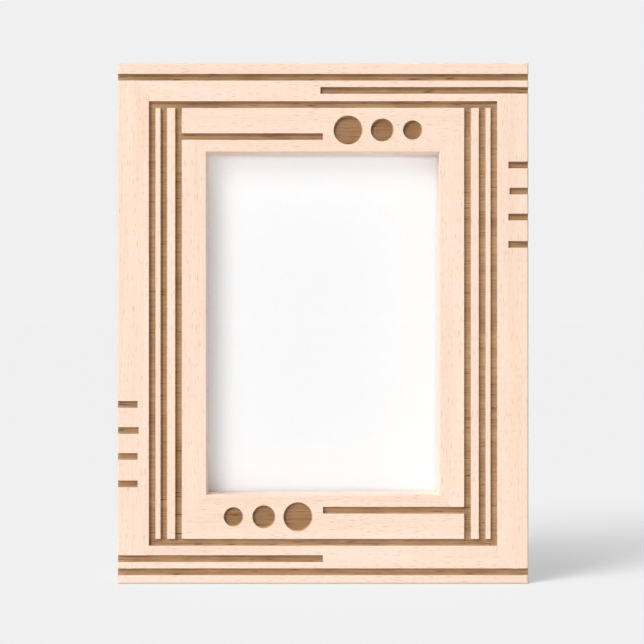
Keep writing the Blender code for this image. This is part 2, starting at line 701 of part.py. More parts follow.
def add_empty(name, location, parent=None):
    """An empty that carries pieces. The strut's stands on the hinge pin's axis."""
    empty = bpy.data.objects.new(name, None)
    parts.objects.link(empty)
    empty.location = location
    empty.parent = parent
    return empty


clear_scene()
parts = new_collection("engraved_picture_frame")
cutters = new_collection("cutters")
rail_cutters = new_collection("rail_cutters")
rail_cutters.hide_render = True
beech = finish_material("beech", (0.93, 0.74, 0.58), 0.55)
glass = finish_material("glass", (0.95, 0.97, 0.97), 0.05, alpha=0.25)
paper = finish_material("paper", (0.93, 0.93, 0.93), 0.8)
hardboard = finish_material("black_faced_hardboard", (0.03, 0.03, 0.03), 0.75)
steel = finish_material("zinc_plated_steel", (0.62, 0.62, 0.62), 0.38, metallic=1.0)
nickel = finish_material("nickel_plated_steel", (0.70, 0.68, 0.64), 0.25, metallic=1.0)
stand = add_empty("frame_base", (0, 0, 0))
hinge_axis = add_empty("hinge_axis", (0, PIN_DEPTH, PIN_HEIGHT), stand)

rails = make_rails()
engrave_half("top", 1, TOP_BAND_INSET, HALF_BAND_OVERRUN)
engrave_half("bottom", -1, BOTTOM_BAND_INSET, 0)
engrave_ticks()
make_v_nails()
make_turn_buttons()
make_hanger("hanger_upright", rails["top_rail"])
make_hanger("hanger_sideways", rails["right_stile"])
make_hinge(make_insert(), make_strut())
for rail in rails.values():
    cut(rail, rail_cutters)
bpy.context.view_layer.update()
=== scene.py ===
"""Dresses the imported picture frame: engraved beech, glazed white card, board back, strut and fittings.

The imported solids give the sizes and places. Each moulding is a copy of its solid, with the engraving's
floors and walls in their own scorched finish. Screws, rivets and nails are set out by Geometry Nodes.
Metres, +Z up, and the engraved front faces -Y.
"""

from __future__ import annotations

import logging
import math
from collections.abc import Sequence
from dataclasses import dataclass, replace
from enum import Enum, IntEnum

import bmesh
import bpy
from bmesh.types import BMesh, BMFace
from bpy.types import Collection, Material, Node, NodeTree, Object, bpy_prop_collection
from bpy.types import NodeSocket as Socket
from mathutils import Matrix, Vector

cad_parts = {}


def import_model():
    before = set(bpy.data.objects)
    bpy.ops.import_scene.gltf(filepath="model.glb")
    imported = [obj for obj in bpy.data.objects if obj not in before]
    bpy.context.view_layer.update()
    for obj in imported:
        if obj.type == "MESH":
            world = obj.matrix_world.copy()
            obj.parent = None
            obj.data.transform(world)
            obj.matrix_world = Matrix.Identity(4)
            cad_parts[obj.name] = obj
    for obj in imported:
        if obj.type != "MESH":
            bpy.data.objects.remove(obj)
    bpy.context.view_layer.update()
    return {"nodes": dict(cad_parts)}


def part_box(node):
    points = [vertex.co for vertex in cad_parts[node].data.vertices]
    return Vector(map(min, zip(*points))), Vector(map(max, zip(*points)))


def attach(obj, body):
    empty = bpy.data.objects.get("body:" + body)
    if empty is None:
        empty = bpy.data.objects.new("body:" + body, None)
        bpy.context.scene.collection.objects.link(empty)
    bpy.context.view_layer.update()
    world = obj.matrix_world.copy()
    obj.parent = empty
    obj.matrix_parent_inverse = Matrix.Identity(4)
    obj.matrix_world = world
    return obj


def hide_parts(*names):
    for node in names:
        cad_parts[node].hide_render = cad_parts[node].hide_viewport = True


LOG = logging.getLogger("picture_frame")

MM = 0.001
FRONT = -9.525 * MM  # the plane of the engraved front
SAME_POINT = 0.001 * MM  # points this near each other are one
SAME_PLANE = math.radians(0.5)  # faces that meet within this angle are one flat face

Colour = tuple[float, float, float, float]
Cell = tuple[float, float, float]  # a pattern's cell along its own X, Y and Z, in millimetres
Span = tuple[float, float]  # a pattern's values where something starts and where it is full

# A Mix node's colour sockets share their names with its others, so they are given by position.
MIX_FIRST = 6
MIX_SECOND = 7
MIX_RESULT = 2


def linear(code: str) -> Colour:
    """Turns an sRGB hex colour into the linear colour that a socket takes.

    Args:
        code: A colour such as "#F4DBC6".

    Returns:
        Red, green, blue and an alpha of 1.
    """
    parts = [int(code[i : i + 2], 16) / 255 for i in (1, 3, 5)]
    red, green, blue = (p / 12.92 if p <= 0.04045 else ((p + 0.055) / 1.055) ** 2.4 for p in parts)
    return (red, green, blue, 1.0)


def add_node(
    tree: NodeTree,
    kind: str,
    inputs: dict[str | int, object] | None = None,
    **settings: object,
) -> Node:
    """Adds a node with its settings and links.

    Args:
        tree: The tree that the node goes into.
        kind: The node's type, such as "ShaderNodeTexNoise".
        inputs: For each input, by name or number, a constant or the output that feeds it.
        settings: The node's own properties.

    Returns:
        The new node.
    """
    node = tree.nodes.new(kind)
    for name, value in settings.items():
        setattr(node, name, value)
    for key, value in (inputs or {}).items():
        if isinstance(value, Socket):
            tree.links.new(value, node.inputs[key])
        else:
            node.inputs[key].default_value = value
    return node


def pattern_space(tree: NodeTree, cell: Cell, turn: float, shift: float) -> Socket:
    """Object coordinates, turned about the front-to-back axis and divided into cells of a real size.

    Args:
        tree: The material's tree.
        cell: The cell's size along the turned X, Y and Z.
        turn: The turn about Y, in radians.
        shift: How far the pattern is moved along all axes, in cells, so that no two pieces match.

    Returns:
        The vector output to feed a texture, whose own scale stays 1.
    """
    place = add_node(tree, "ShaderNodeTexCoord").outputs["Object"]
    turned = add_node(tree, "ShaderNodeMapping", {"Vector": place, "Rotation": (0, turn, 0)})
    scale = tuple(1 / (MM * size) for size in cell)
    moved = {"Vector": turned.outputs[0], "Scale": scale, "Location": (shift, shift, shift)}
    return add_node(tree, "ShaderNodeMapping", moved).outputs[0]


def two_tone(
    tree: NodeTree, pattern: Socket, span: Span, dark: str, light: str
) -> tuple[Socket, Socket]:
    """Colours a pattern in two shades.

    Args:
        tree: The material's tree.
        pattern: The pattern's values.
        span: The values that come out all dark and all light.
        dark: The shade of the low values.
        light: The shade of the high values.

    Returns:
        The pattern spread from 0 to 1, and its colour.
    """
    limits = {"Value": pattern, "From Min": span[0], "From Max": span[1]}
    tone = add_node(tree, "ShaderNodeMapRange", limits).outputs[0]
    shades = {0: tone, MIX_FIRST: linear(dark), MIX_SECOND: linear(light)}
    return tone, add_node(tree, "ShaderNodeMix", shades, data_type="RGBA").outputs[MIX_RESULT]


@dataclass(frozen=True)
class Mottle:
    """A soft random pattern of a real size."""

    cell: Cell
    detail: float  # how many finer layers it has
    shift: float = 0.0  # in cells, so that no two patterns match

    def draw(self, tree: NodeTree, turn: float = 0.0, start: float = 0.0) -> Socket:
        """Adds the pattern to a material.

        Args:
            tree: The material's tree.
            turn: The pattern's turn about the front-to-back axis, in radians.
            start: A further shift, in cells, that tells one piece from another.

        Returns:
            The pattern's values, which gather about 0.5.
        """
        space = pattern_space(tree, self.cell, turn, self.shift + start)
        noise = {"Vector": space, "Scale": 1.0, "Detail": self.detail}
        return add_node(tree, "ShaderNodeTexNoise", noise).outputs["Fac"]


@dataclass(frozen=True)
class Flecks:
    """Scattered short marks of a real size."""

    cell: Cell
    bare: float  # the share of cells that have no mark
    strength: float  # of the darkest mark
    shift: float  # in cells, so that no two patterns match
    edge: Span = (0.3, 0.08)  # distances from a mark's middle, in cells

    def draw(self, tree: NodeTree, turn: float, start: float) -> Socket:
        """Adds the marks to a material.

        Args:
            tree: The material's tree.
            turn: The pattern's turn about the front-to-back axis, in radians.
            start: A further shift, in cells, that tells one piece from another.

        Returns:
            0 between the marks, and up to their strength in them.
        """
        space = pattern_space(tree, self.cell, turn, self.shift + start)
        cells = add_node(tree, "ShaderNodeTexVoronoi", {"Vector": space, "Scale": 1.0}).outputs
        fade = {"Value": cells["Distance"], "From Min": self.edge[0], "From Max": self.edge[1]}
        shape = add_node(tree, "ShaderNodeMapRange", fade, interpolation_type="SMOOTHSTEP").outputs[0]
        chance = add_node(tree, "ShaderNodeSeparateColor", {0: cells["Color"]}).outputs[0]
        drawn = {"Value": chance, "From Min": self.bare, "To Max": self.strength}
        weight = add_node(tree, "ShaderNodeMapRange", drawn).outputs[0]
        mark = {0: shape, 1: weight}
        return add_node(tree, "ShaderNodeMath", mark, operation="MULTIPLY").outputs[0]


class Grain(Enum):
    """Which way a moulding's grain runs, as the turn that brings it onto the pattern's X axis."""

    ACROSS = 0.0
    UPRIGHT = math.pi / 2


@dataclass(frozen=True)
class Finish:
    """What every finish has: a name for the material and a base roughness."""

    name: str
    roughness: float

    def material(self) -> Material:
        """Makes the material the first time it is asked for.

        Returns:
            The finished material.
        """
        made = bpy.data.materials.get(self.name)
        if made is None:
            made = bpy.data.materials.new(self.name)
            made.use_nodes = True
            shader = made.node_tree.nodes["Principled BSDF"]
            shader.inputs["Roughness"].default_value = self.roughness
            self.dress(made.node_tree, shader)
        return made

    def dress(self, tree: NodeTree, shader: Node) -> None:
        """Adds the finish's own nodes."""
        raise NotImplementedError


@dataclass(frozen=True)
class SandedBeech(Finish):
    """Steamed beech, planed and sanded, with no varnish: pale pink, with fine brown ray flecks."""

    grain: Grain
    seed: float
    pale: str = "#FAE2CF"
    deep: str = "#F3D5BE"
    fleck: str = "#D69E78"
    # A cell's first size lies along the grain. Real pores are finer: these are coarse enough to show.
    bands: Mottle = Mottle((150.0, 9.0, 9.0), detail=3.0)
    fibres: Mottle = Mottle((26.0, 0.55, 0.55), detail=2.0, shift=7.0)
    rays: Flecks = Flecks((7.5, 0.56, 0.56), bare=0.15, strength=0.85, shift=11.05)
    pores: Flecks = Flecks((3.6, 0.34, 0.34), bare=0.2, strength=0.75, shift=9.75)
    fibre_share: float = 0.42  # how much of the tone the fibres give: the bands give the rest
    tone_span: Span = (0.34, 0.66)
    deep_rougher: float = 0.06  # the deepest tone, against the base roughness
    pale_smoother: float = 0.04  # the palest tone, against the base roughness
    relief: float = 0.03  # how far the rays are sunk between the fibres, in millimetres
    relief_strength: float = 0.25

    def dress(self, tree: NodeTree, shader: Node) -> None:
        """Layers broad bands, fibres, and two sizes of fleck, all drawn out along the grain.

        Args:
            tree: The material's tree.
            shader: Its shader.
        """
        turn = self.grain.value
        bands = self.bands.draw(tree, turn, self.seed)
        fibres = self.fibres.draw(tree, turn, self.seed)
        mixed = {"Factor": self.fibre_share, "A": bands, "B": fibres}
        pattern = add_node(tree, "ShaderNodeMix", mixed).outputs[0]
        tone, colour = two_tone(tree, pattern, self.tone_span, self.deep, self.pale)
        marks = [flecks.draw(tree, turn, self.seed) for flecks in (self.rays, self.pores)]
        for mark in marks:
            flecked = {0: mark, MIX_FIRST: colour, MIX_SECOND: linear(self.fleck)}
            colour = add_node(tree, "ShaderNodeMix", flecked, data_type="RGBA").outputs[MIX_RESULT]
        tree.links.new(colour, shader.inputs["Base Color"])
        sanded = {
            "Value": tone,
            "To Min": self.roughness + self.deep_rougher,
            "To Max": self.roughness - self.pale_smoother,
        }
        rough = add_node(tree, "ShaderNodeMapRange", sanded).outputs[0]
        tree.links.new(rough, shader.inputs["Roughness"])
        sunk = {0: fibres, 1: marks[0]}
        height = add_node(tree, "ShaderNodeMath", sunk, operation="SUBTRACT").outputs[0]
        bump = {"Height": height, "Strength": self.relief_strength, "Distance": self.relief * MM}
        tree.links.new(add_node(tree, "ShaderNodeBump", bump).outputs[0], shader.inputs["Normal"])


@dataclass(frozen=True)
class ScorchedBeech(Finish):
    """Beech burnt away by a laser: brown, in fine level streaks left by its level passes."""

    light: str
    dark: str
    line: str
    # The real passes are finer: the streaks are widened to show.
    streaks: Mottle = Mottle((22.0, 6.0, 0.75), detail=3.0, shift=11.1)
    patches: Mottle = Mottle((17.0, 17.0, 11.0), detail=2.0, shift=7.4)
    hairlines: Mottle = Mottle((9.0, 9.0, 0.7), detail=1.0, shift=41.0)
    patch_share: float = 0.45  # how much of the tone the patches give: the streaks give the rest
    tone_span: Span = (0.36, 0.62)
    hairline_span: Span = (0.62, 0.74)  # the pattern's values where a hairline starts and is darkest
    hairline_strength: float = 0.75
    specular: float = 0.2  # char reflects less than bare wood
    relief: float = 0.08  # how deep the passes lie, in millimetres
    relief_strength: float = 0.5

    def dress(self, tree: NodeTree, shader: Node) -> None:
        """Mixes two browns by level streaks and soft patches, then draws the darkest hairlines.

        Args:
            tree: The material's tree.
            shader: Its shader.
        """
        streaks = self.streaks.draw(tree)
        mixed = {"Factor": self.patch_share, "A": streaks, "B": self.patches.draw(tree)}
        pattern = add_node(tree, "ShaderNodeMix", mixed).outputs[0]
        colour = two_tone(tree, pattern, self.tone_span, self.dark, self.light)[1]
        drawn = {
            "Value": self.hairlines.draw(tree),
            "From Min": self.hairline_span[0],
            "From Max": self.hairline_span[1],
            "To Max": self.hairline_strength,
        }
        line = add_node(tree, "ShaderNodeMapRange", drawn).outputs[0]
        lined = {0: line, MIX_FIRST: colour, MIX_SECOND: linear(self.line)}
        colour = add_node(tree, "ShaderNodeMix", lined, data_type="RGBA").outputs[MIX_RESULT]
        tree.links.new(colour, shader.inputs["Base Color"])
        shader.inputs["Specular IOR Level"].default_value = self.specular
        bump = {"Height": streaks, "Strength": self.relief_strength, "Distance": self.relief * MM}
        tree.links.new(add_node(tree, "ShaderNodeBump", bump).outputs[0], shader.inputs["Normal"])


@dataclass(frozen=True)
class FloatGlass(Finish):
    """Clear float glass: sharp, faint reflections, and light falls through it onto what is behind."""

    tint: str = "#FEFEFE"
    ior: float = 1.5

    def dress(self, tree: NodeTree, shader: Node) -> None:
        """Lets lamps through to the card, which a bending pane would otherwise keep dark.

        Args:
            tree: The material's tree.
            shader: Its shader.
        """
        shader.inputs["Base Color"].default_value = linear(self.tint)
        shader.inputs["Transmission Weight"].default_value = 1.0
        shader.inputs["IOR"].default_value = self.ior
        clear = add_node(tree, "ShaderNodeBsdfTransparent", {"Color": linear(self.tint)}).outputs[0]
        path = add_node(tree, "ShaderNodeLightPath").outputs
        either = {0: path["Is Shadow Ray"], 1: path["Is Diffuse Ray"]}
        lit = add_node(tree, "ShaderNodeMath", either, operation="MAXIMUM").outputs[0]
        mix = add_node(tree, "ShaderNodeMixShader", {0: lit, 1: shader.outputs[0], 2: clear})
        tree.links.new(mix.outputs[0], tree.nodes["Material Output"].inputs["Surface"])


@dataclass(frozen=True)
class FibreSheet(Finish):
    """Pressed fibre, as paper, card or hardboard: even, matt, with a faint felted tooth."""

    light: str
    dark: str
    tooth: float  # width of the felted pattern, in millimetres
    relief: float  # depth of the felted pattern, in millimetres
    relief_strength: float = 0.35
    detail: float = 4.0  # how many finer layers the pattern has
    shift: float = 5.0
    tone_span: Span = (0.35, 0.65)
    specular: float = 0.25  # matt fibre reflects less than a smooth coat

    def dress(self, tree: NodeTree, shader: Node) -> None:
        """Mottles two near shades and gives the tooth a slight relief.

        Args:
            tree: The material's tree.
            shader: Its shader.
        """
        felt = Mottle((self.tooth, self.tooth, self.tooth), self.detail, self.shift).draw(tree)
        colour = two_tone(tree, felt, self.tone_span, self.dark, self.light)[1]
        tree.links.new(colour, shader.inputs["Base Color"])
        shader.inputs["Specular IOR Level"].default_value = self.specular
        bump = {"Height": felt, "Strength": self.relief_strength, "Distance": self.relief * MM}
        tree.links.new(add_node(tree, "ShaderNodeBump", bump).outputs[0], shader.inputs["Normal"])


@dataclass(frozen=True)
class PlatedSteel(Finish):
    """Pressed steel, barrel plated: a soft metal shine with faint rubbed streaks and cloudy patches."""

    light: str
    dark: str
    clouds: Mottle = Mottle((3.0, 3.0, 3.0), detail=3.0, shift=2.0)
    rubs: Mottle = Mottle((9.0, 9.0, 0.5), detail=2.0, shift=9.0)
    rub_turn: float = 0.35  # how far the rubbing runs off the level, in radians
    tone_span: Span = (0.35, 0.65)
    rub_span: Span = (0.3, 0.7)
    shinier: float = 0.06  # the brightest rub, against the base roughness
    duller: float = 0.1  # the dullest, against the base roughness

    def dress(self, tree: NodeTree, shader: Node) -> None:
        """Clouds the plating's colour, and rubs its roughness along one way.

        Args:
            tree: The material's tree.
            shader: Its shader.
        """
        shader.inputs["Metallic"].default_value = 1.0
        colour = two_tone(tree, self.clouds.draw(tree), self.tone_span, self.dark, self.light)[1]
        tree.links.new(colour, shader.inputs["Base Color"])
        rubbed = {
            "Value": self.rubs.draw(tree, self.rub_turn),
            "From Min": self.rub_span[0],
            "From Max": self.rub_span[1],
            "To Min": self.roughness - self.shinier,
            "To Max": self.roughness + self.duller,
        }
        rough = add_node(tree, "ShaderNodeMapRange", rubbed).outputs[0]
        tree.links.new(rough, shader.inputs["Roughness"])


# The line floors are painted paler than the dot floors: painted light that makes up for the shade in the
# narrow grooves.
LINE_FLOOR = ScorchedBeech("laser_engraved_beech_line", 0.8, "#C29D77", "#9F7A57", "#5A3B22")
DOT_FLOOR = ScorchedBeech("laser_engraved_beech_dot", 0.8, "#A98360", "#8B6745", "#6A4A30")
ENGRAVED_WALL = ScorchedBeech("laser_scorched_beech_wall", 0.8, "#D0AA84", "#B08962", "#6B482B")
GLASS = FloatGlass("clear_float_glass", 0.0)
CARD = FibreSheet("matt_white_card", 0.75, "#F6F7F8", "#F2F3F4", tooth=0.6, relief=0.012)
BLACK_PAPER = FibreSheet(
    "black_paper_faced_hardboard", 0.7, "#262524", "#1A1918", tooth=0.9, relief=0.03
)
RAW_EDGE = FibreSheet("sawn_hardboard_edge", 0.85, "#8A6446", "#6A4A32", tooth=0.5, relief=0.05)
ZINC = PlatedSteel("zinc_plated_pressed_steel", 0.34, "#C8CDD2", "#B8BEC4")
NICKEL = PlatedSteel("nickel_plated_pressed_steel", 0.24, "#D9D4C9", "#CEC8BC")


def merged_copy(node: Object) -> BMesh:
    """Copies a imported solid's mesh with its loose triangles joined up.

    Args:
        node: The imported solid's object.

    Returns:
        A mesh to edit, which the caller frees.
    """
    shape = bmesh.new()
    shape.from_mesh(node.data)
    bmesh.ops.remove_doubles(shape, verts=shape.verts, dist=SAME_POINT)
    return shape


def new_piece(name: str, shape: BMesh, finishes: Sequence[Finish]) -> Object:
    """Makes a piece of the edited mesh, and frees that.

    Args:
        name: The piece's name.
        shape: The edited mesh.
        finishes: One finish for each material number that the faces use.

    Returns:
        The piece, at the origin.
    """
    mesh = bpy.data.meshes.new(name)
    shape.to_mesh(mesh)
    shape.free()
    for finish in finishes:
        mesh.materials.append(finish.material())
    piece = bpy.data.objects.new(name, mesh)
    bpy.context.scene.collection.objects.link(piece)
    return piece


def settle(piece: Object) -> None:
    """Turns a piece with modifiers into a plain mesh of the same look.

    Args:
        piece: The piece, whose modifiers are removed.
    """
    graph = bpy.context.evaluated_depsgraph_get()
    mesh = bpy.data.meshes.new_from_object(piece.evaluated_get(graph))
    piece.modifiers.clear()
    old = piece.data
    piece.data = mesh
    bpy.data.meshes.remove(old)
    mesh.name = piece.name


def hand_over(piece: Object, body: str, slot: str, *nodes: str) -> None:
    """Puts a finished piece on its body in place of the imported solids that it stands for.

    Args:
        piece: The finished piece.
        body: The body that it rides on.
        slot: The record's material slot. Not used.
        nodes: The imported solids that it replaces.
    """
    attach(piece, body)
    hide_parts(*nodes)
    LOG.info("%s on %s, for %s: %d faces", piece.name, body, ", ".join(nodes), len(piece.data.polygons))


def dress_in_place(node: Object, finish: Finish) -> None:
    """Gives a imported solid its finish, and leaves its shape as it is."""
    node.material_slots[0].material = finish.material()
    LOG.info("%s in %s, as packed", node.name, finish.name)


class Part(IntEnum):
    """The parts of a moulding that have finishes of their own, as material numbers."""

    WOOD = 0
    LINE = 1
    DOT = 2
    WALL = 3
    # the opening's walls, in a paler copy of the wood that is painted light
    SIGHT_EDGE = 4


@dataclass
class Mouldings:
    """The four mitred beech members, with the engraving in their fronts."""

    nodes: dict[str, Object]
    half_width: float = 95.25 * MM
    height: float = 241.3 * MM
    opening_inset: float = 41.275 * MM  # from the frame's outer edge to its opening
    engraving_depth: float = 2.0 * MM
    dots_inset: float = 22 * MM  # the least distance of a dot from the frame's top or bottom edge
    dots_reach: float = 55 * MM  # the furthest that a dot lies from the upright middle line
    burnt_foot: float = 0.42 * MM  # how wide the slope is where an engraved wall meets its floor
    level: float = 0.02 * MM  # how far off a plane a face may lie and still count as on it
    glue_line: float = 0.2 * MM  # the widest gap that is drawn shut
    sliver: float = 0.05 * MM  # the longest edge that is welded away where a line ends at a mitre
    facing: float = 0.99  # the least share of a floor's normal that points to the front
    upright: float = 0.05  # the largest share of a wall's normal that points to the front or back
    square: float = 0.9999  # the least share of a flat face's normal that lies along one axis
    seam: float = 0.01  # faces that meet within this angle, in radians, are shaded as one
    crease: float = math.radians(40)  # sharper edges stay crisp
    roughness: float = 0.62
    edge_pale: str = "#FEECE0"  # the opening's walls are painted paler: painted light, for the light thrown about in the opening
    edge_deep: str = "#FAE1D2"

    def part_of(self, face: BMFace) -> Part:
        """Tells the engraving and the opening's walls from the rest by where they lie.

        Args:
            face: A face of a moulding.

        Returns:
            The part that the face belongs to.
        """
        if self.lies_at(face, self.opening_inset):
            return Part.SIGHT_EDGE
        depths = [vertex.co.y - FRONT for vertex in face.verts]
        if max(depths) > self.engraving_depth + self.level:
            return Part.WOOD
        if face.normal.y < -self.facing and min(depths) > self.engraving_depth - self.level:
            return Part.DOT if self.is_dot(face) else Part.LINE
        is_wall = abs(face.normal.y) < self.upright and not self.lies_at(face, 0.0)
        return Part.WALL if is_wall else Part.WOOD

    def is_dot(self, face: BMFace) -> bool:
        """Tells a dot's floor from a line's: dots lie right of the middle at the top, left of it below.

        Args:
            face: The floor of an engraved dot or line.

        Returns:
            Whether it is a dot's.
        """
        place = face.calc_center_median()
        inset = min(place.z, self.height - place.z)
        side = place.x if place.z > self.height / 2 else -place.x
        return inset > self.dots_inset and 0 < side < self.dots_reach

    def lies_at(self, face: BMFace, inset: float) -> bool:
        """Tells whether a face lies at one distance from a side, the top or the bottom of the frame.

        Args:
            face: A face of a moulding.
            inset: The distance.

        Returns:
            Whether it lies there.
        """
        from_side = [self.half_width - abs(vertex.co.x) for vertex in face.verts]
        from_end = [min(vertex.co.z, self.height - vertex.co.z) for vertex in face.verts]
        return any(max(abs(far - inset) for far in way) < self.level for way in (from_side, from_end))

    def slope_feet(self, shape: BMesh) -> None:
        """Slopes the foot of every engraved wall, as a laser leaves it, so that its lit side shows.

        Args:
            shape: The moulding, with its faces sorted by part.
        """
        sides = {edge: [face.material_index for face in edge.link_faces] for edge in shape.edges}
        engraved = (Part.LINE, Part.DOT, Part.WALL)
        inside = [edge for edge, two in sides.items() if two[0] in engraved and two[0] == two[-1]]
        bmesh.ops.dissolve_limit(shape, angle_limit=SAME_PLANE, verts=[], edges=inside)
        feet = []
        for edge in shape.edges:
            kinds = sorted(face.material_index for face in edge.link_faces)
            if kinds in ([Part.LINE, Part.WALL], [Part.DOT, Part.WALL]):
                feet.append(edge)
        bmesh.ops.bevel(
            shape,
            geom=feet,
            offset=self.burnt_foot,
            offset_type="OFFSET",
            segments=1,
            profile=0.5,
            affect="EDGES",
            clamp_overlap=True,
            material=Part.WALL,
        )
        shape.normal_update()

    def close_mitres(self, shape: BMesh, grain: Grain) -> None:
        """Draws a moulding's ends out to the glue line, where its neighbour meets it.

        Args:
            shape: The moulding.
            grain: Which way it runs, and so which way its ends move.
        """
        for vertex in shape.verts:
            place = vertex.co
            from_end = min(place.z, self.height - place.z)
            short = self.half_width - abs(place.x) - from_end
            if abs(short) > self.glue_line:
                continue
            if grain is Grain.ACROSS:
                place.x += math.copysign(short, place.x)
            else:
                place.z += math.copysign(short, place.z - self.height / 2)

    def soften(self, shape: BMesh) -> None:
        """Shades the eased edges and the round walls smooth, and keeps every other edge crisp.

        Args:
            shape: The moulding.
        """
        for face in shape.faces:
            face.smooth = True
        for edge in shape.edges:
            faces = edge.link_faces
            bend = edge.calc_face_angle(0.0)
            curved = all(max(abs(n) for n in face.normal) < self.square for face in faces)
            gentle = curved and bend <= self.crease
            edge.smooth = len(faces) == 2 and (bend < self.seam or gentle)

    def build(self) -> None:
        """Copies each moulding, sorts its faces by finish and puts it in place."""
        members = {
            "top_rail": (Grain.ACROSS, 1.3),
            "bottom_rail": (Grain.ACROSS, 23.1),
            "left_stile": (Grain.UPRIGHT, 5.9),
            "right_stile": (Grain.UPRIGHT, 37.4),
        }
        for name, (grain, seed) in members.items():
            shape = merged_copy(self.nodes[name])
            bmesh.ops.remove_doubles(shape, verts=shape.verts, dist=self.sliver)
            shape.normal_update()
            for face in shape.faces:
                face.material_index = self.part_of(face)
            self.slope_feet(shape)
            self.soften(shape)
            self.close_mitres(shape, grain)
            wood = SandedBeech(f"sanded_beech_{name}", self.roughness, grain, seed)
            # The opening's walls get the wood painted paler, as painted light for the light thrown about
            # in the opening.
            paler = {"pale": self.edge_pale, "deep": self.edge_deep}
            edge = replace(wood, name=f"bleached_beech_{name}", **paler)
            finishes = (wood, LINE_FLOOR, DOT_FLOOR, ENGRAVED_WALL, edge)  # in Part's order
            piece = new_piece(f"beech_{name}", shape, finishes)
            hand_over(piece, "frame", "beech", name)


@dataclass
class Boards:
    """The pane, the blank card and the board behind the opening, and the strut on the board's back."""

    nodes: dict[str, Object]
    papered: float = 0.9  # the least share of a papered face's normal that points to the front or back

    def hardboard(self, node: str, body: str) -> None:
        """Copies a hardboard piece, with papered faces and sawn edges.

        Args:
            node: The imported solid.
            body: The body that it rides on.
        """
        shape = merged_copy(self.nodes[node])
        shape.normal_update()
        for face in shape.faces:
            face.material_index = 0 if abs(face.normal.y) > self.papered else 1
        piece = new_piece(f"papered_{node}", shape, (BLACK_PAPER, RAW_EDGE))
        hand_over(piece, body, "hardboard", node)

    def build(self) -> None:
        """Dresses the pane and the card where they are, and makes the board and the strut."""
        dress_in_place(self.nodes["glazing"], GLASS)
        dress_in_place(self.nodes["print"], CARD)
        self.hardboard("backing_board", "frame")
        self.hardboard("strut", "easel")


@dataclass
class PressedFittings:
    """The stamped steel pieces at the back: hinge, turn buttons, hangers and V-nails."""

    nodes: dict[str, Object]
    burr: float = 0.14 * MM  # how much tumbling takes off a stamped edge
    burr_steps: int = 2
    crease: float = math.radians(50)  # edges sharper than this are tumbled
    flat_weight: int = 100  # in percent: large faces alone set the shading
    v_nails: int = 8

    def stamped(self, node: str, body: str, slot: str, finish: Finish) -> None:
        """Copies a stamped piece, rounds its edges a little and puts it in place.

        Args:
            node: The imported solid.
            body: The body that it rides on.
            slot: The record's material slot.
            finish: The plating.
        """
        shape = merged_copy(self.nodes[node])
        bmesh.ops.dissolve_limit(shape, angle_limit=SAME_PLANE, verts=shape.verts, edges=shape.edges)
        piece = new_piece(f"plated_{node}", shape, (finish,))
        piece.data.shade_smooth()
        bevel = piece.modifiers.new("tumbled", "BEVEL")
        bevel.width = self.burr
        bevel.segments = self.burr_steps
        bevel.limit_method = "ANGLE"
        bevel.angle_limit = self.crease
        even = piece.modifiers.new("flat_faces_stay_flat", "WEIGHTED_NORMAL")
        even.weight = self.flat_weight
        settle(piece)
        hand_over(piece, body, slot, node)

    def build(self) -> None:
        """Makes every stamped piece, and dresses the pin and the V-nails where they are."""
        buttons = ("button_upper_left", "button_lower_left", "button_lower_right", "button_upper_right")
        for number, body in enumerate(buttons, 1):
            self.stamped(f"turn_button_{number}", body, "nickel", NICKEL)
        for node in ("hanger_upright", "hanger_sideways"):
            self.stamped(node, "frame", "nickel", NICKEL)
        self.stamped("hinge_leaf_board", "frame", "zinc", ZINC)
        self.stamped("hinge_leaf_strut", "easel", "zinc", ZINC)
        dress_in_place(self.nodes["hinge_pin"], ZINC)
        for number in range(1, self.v_nails + 1):
            dress_in_place(self.nodes[f"v_nail_{number}"], ZINC)


